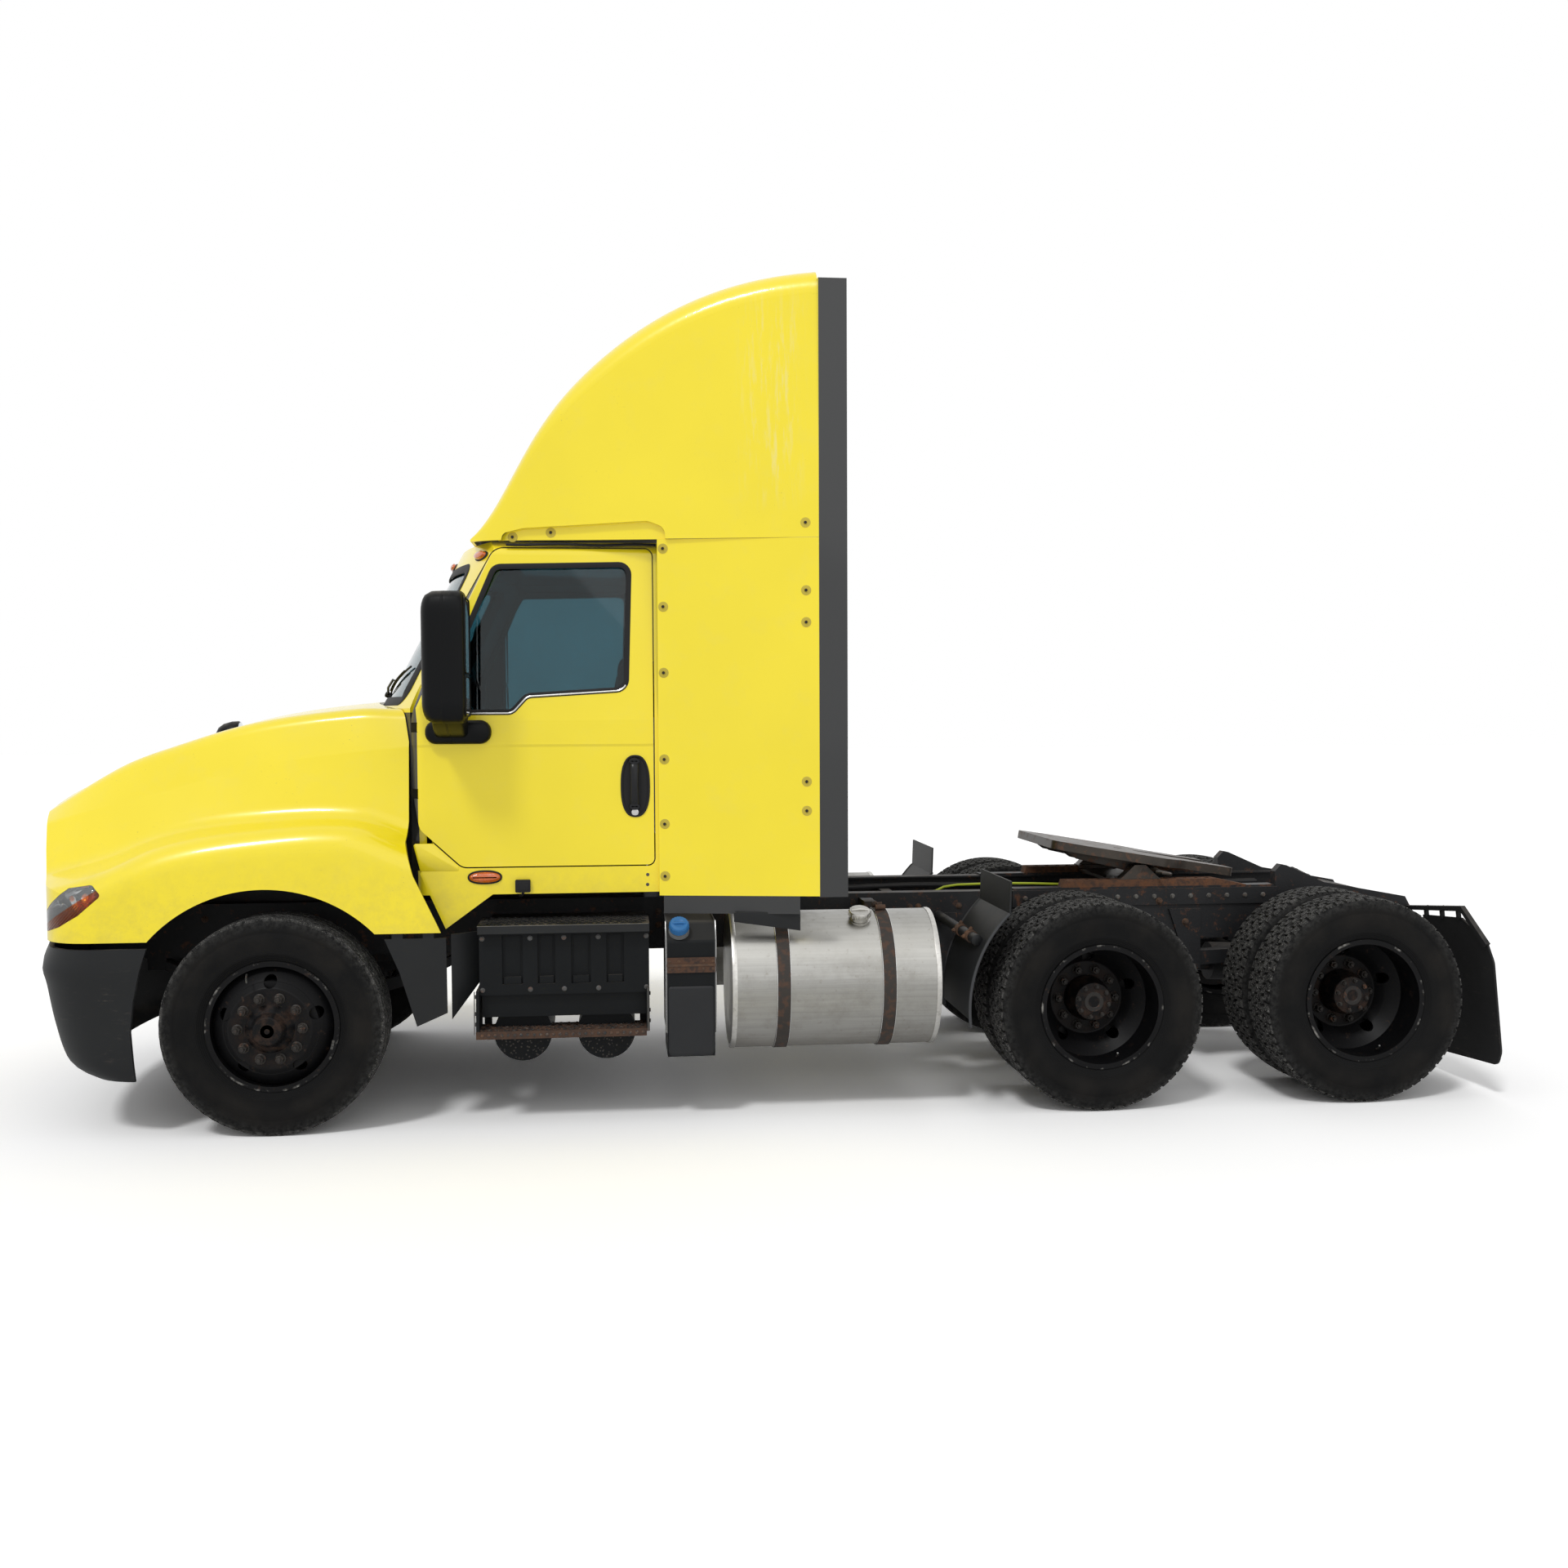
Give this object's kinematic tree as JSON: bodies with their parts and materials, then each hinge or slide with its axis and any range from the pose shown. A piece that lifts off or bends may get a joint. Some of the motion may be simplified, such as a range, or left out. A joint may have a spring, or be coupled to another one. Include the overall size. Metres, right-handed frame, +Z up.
{
  "type": "semi truck tractor unit",
  "caption": "Conventional day-cab semi truck tractor with tilting hood, tall roof fairing, side extenders, twin drive axles and a sliding fifth wheel.",
  "frame": {"origin": "middle of the whole tractor, on the ground", "axes": "+X forward, +Y towards the driver's side (left), +Z up"},
  "size_m": [7.154, 2.78, 4.0175],
  "materials": {
    "yellow_paint": "glossy yellow paint, lightly scuffed",
    "frame_black": "satin black frame paint, dusty",
    "rusty_steel": "rusted bare steel",
    "black_plastic": "dark grained moulded plastic",
    "tyre_rubber": "dusty black tyre rubber",
    "flap_rubber": "black rubber sheet",
    "wheel_black": "black painted steel, rust at the studs",
    "tank_aluminium": "brushed aluminium",
    "glass": "teal tinted glass",
    "lamp_glass": "clear lens",
    "cab_trim": "dark grey cab trim",
    "seat_fabric": "dark woven cloth",
    "engine_iron": "grey cast iron",
    "greased_steel": "worn, greasy steel"
  },
  "bodies": {
    "chassis": {"frame_rail_left": "frame_black", "frame_rail_right": "frame_black", "crossmembers": "frame_black", "front_axle": "frame_black", "front_springs": "frame_black", "drive_axle_1": "frame_black", "drive_axle_2": "frame_black", "rear_suspension": "frame_black", "driveshaft": "frame_black", "engine": "engine_iron", "cab": "yellow_paint", "roof_fairing": "yellow_paint", "extender_left": "yellow_paint", "extender_right": "yellow_paint", "bumper": "black_plastic", "step_box_left": "black_plastic", "step_box_right": "black_plastic", "def_tank": "black_plastic", "quarter_fender_left": "black_plastic", "quarter_fender_right": "black_plastic", "windshield": "glass", "rear_window": "glass", "dashboard": "cab_trim", "seats": "seat_fabric", "fuel_tank_left": "tank_aluminium", "fuel_tank_right": "tank_aluminium", "mud_flap_left": "flap_rubber", "mud_flap_right": "flap_rubber", "fifth_wheel_rails": "rusty_steel"},
    "wheel_front_left": {"rim_front_left": "wheel_black", "tyre_front_left": "tyre_rubber"},
    "wheel_front_right": {"rim_front_right": "wheel_black", "tyre_front_right": "tyre_rubber"},
    "wheel_drive1_left": {"rim_drive1_left": "wheel_black", "tyre_drive1_left": "tyre_rubber"},
    "wheel_drive1_right": {"rim_drive1_right": "wheel_black", "tyre_drive1_right": "tyre_rubber"},
    "wheel_drive2_left": {"rim_drive2_left": "wheel_black", "tyre_drive2_left": "tyre_rubber"},
    "wheel_drive2_right": {"rim_drive2_right": "wheel_black", "tyre_drive2_right": "tyre_rubber"},
    "steer_left": {"knuckle_left": "frame_black"},
    "door_left": {"door_left": "yellow_paint", "door_glass_left": "glass", "mirror_left": "black_plastic"},
    "steer_right": {"knuckle_right": "frame_black"},
    "door_right": {"door_right": "yellow_paint", "door_glass_right": "glass", "mirror_right": "black_plastic"},
    "tie_rod": {"tie_rod": "frame_black"},
    "hood": {"hood": "yellow_paint", "grille": "black_plastic", "headlamp_left": "lamp_glass", "headlamp_right": "lamp_glass", "hood_mirror": "black_plastic", "fender_skirt_left": "black_plastic", "fender_skirt_right": "black_plastic"},
    "fifth_wheel_carriage": {"fifth_wheel_carriage": "greased_steel"},
    "fifth_wheel_plate": {"fifth_wheel_plate": "greased_steel"}
  },
  "joints": [
    {"name": "steer_left", "type": "hinge", "parent": "chassis", "child": "steer_left", "pos_m": [2.3275, 0.88, 0.504], "axis": [0, 0, 1], "range_deg": [-38, 38]},
    {"name": "steer_right", "type": "hinge", "parent": "chassis", "child": "steer_right", "pos_m": [2.3275, -0.88, 0.504], "axis": [0, 0, 1], "range_deg": [-38, 38]},
    {"name": "tie_rod_turn", "type": "hinge", "parent": "steer_left", "child": "tie_rod", "pos_m": [2.1275, 0.88, 0.358], "axis": [0, 0, 1], "range_deg": [-38, 38]},
    {"name": "spin_front_left", "type": "hinge", "parent": "steer_left", "child": "wheel_front_left", "pos_m": [2.3275, 1.064, 0.504], "axis": [0, 1, 0], "continuous": true},
    {"name": "spin_front_right", "type": "hinge", "parent": "steer_right", "child": "wheel_front_right", "pos_m": [2.3275, -1.064, 0.504], "axis": [0, 1, 0], "continuous": true},
    {"name": "spin_drive1_left", "type": "hinge", "parent": "chassis", "child": "wheel_drive1_left", "pos_m": [-1.5475, 0.926, 0.504], "axis": [0, 1, 0], "continuous": true},
    {"name": "spin_drive1_right", "type": "hinge", "parent": "chassis", "child": "wheel_drive1_right", "pos_m": [-1.5475, -0.926, 0.504], "axis": [0, 1, 0], "continuous": true},
    {"name": "spin_drive2_left", "type": "hinge", "parent": "chassis", "child": "wheel_drive2_left", "pos_m": [-2.8685, 0.926, 0.504], "axis": [0, 1, 0], "continuous": true},
    {"name": "spin_drive2_right", "type": "hinge", "parent": "chassis", "child": "wheel_drive2_right", "pos_m": [-2.8685, -0.926, 0.504], "axis": [0, 1, 0], "continuous": true},
    {"name": "door_left_open", "type": "hinge", "parent": "chassis", "child": "door_left", "pos_m": [1.6725, 1.005, 1.5], "axis": [0, 0, -1], "range_deg": [0, 70]},
    {"name": "door_right_open", "type": "hinge", "parent": "chassis", "child": "door_right", "pos_m": [1.6725, -1.005, 1.5], "axis": [0, 0, 1], "range_deg": [0, 70]},
    {"name": "hood_tilt", "type": "hinge", "parent": "chassis", "child": "hood", "pos_m": [3.4525, 0, 0.965], "axis": [0, 1, 0], "range_deg": [0, 75]},
    {"name": "fifth_wheel_slide", "type": "slide", "parent": "chassis", "child": "fifth_wheel_carriage", "axis": [1, 0, 0], "range_m": [-0.3, 0.3]},
    {"name": "fifth_wheel_tilt", "type": "hinge", "parent": "fifth_wheel_carriage", "child": "fifth_wheel_plate", "pos_m": [-2.0025, 0, 1.08], "axis": [0, 1, 0], "range_deg": [0, 15]}
  ],
  "couplings": [
    {"joint": "steer_right", "follows": "steer_left", "ratio": 1},
    {"joint": "tie_rod_turn", "follows": "steer_left", "ratio": -1}
  ]
}
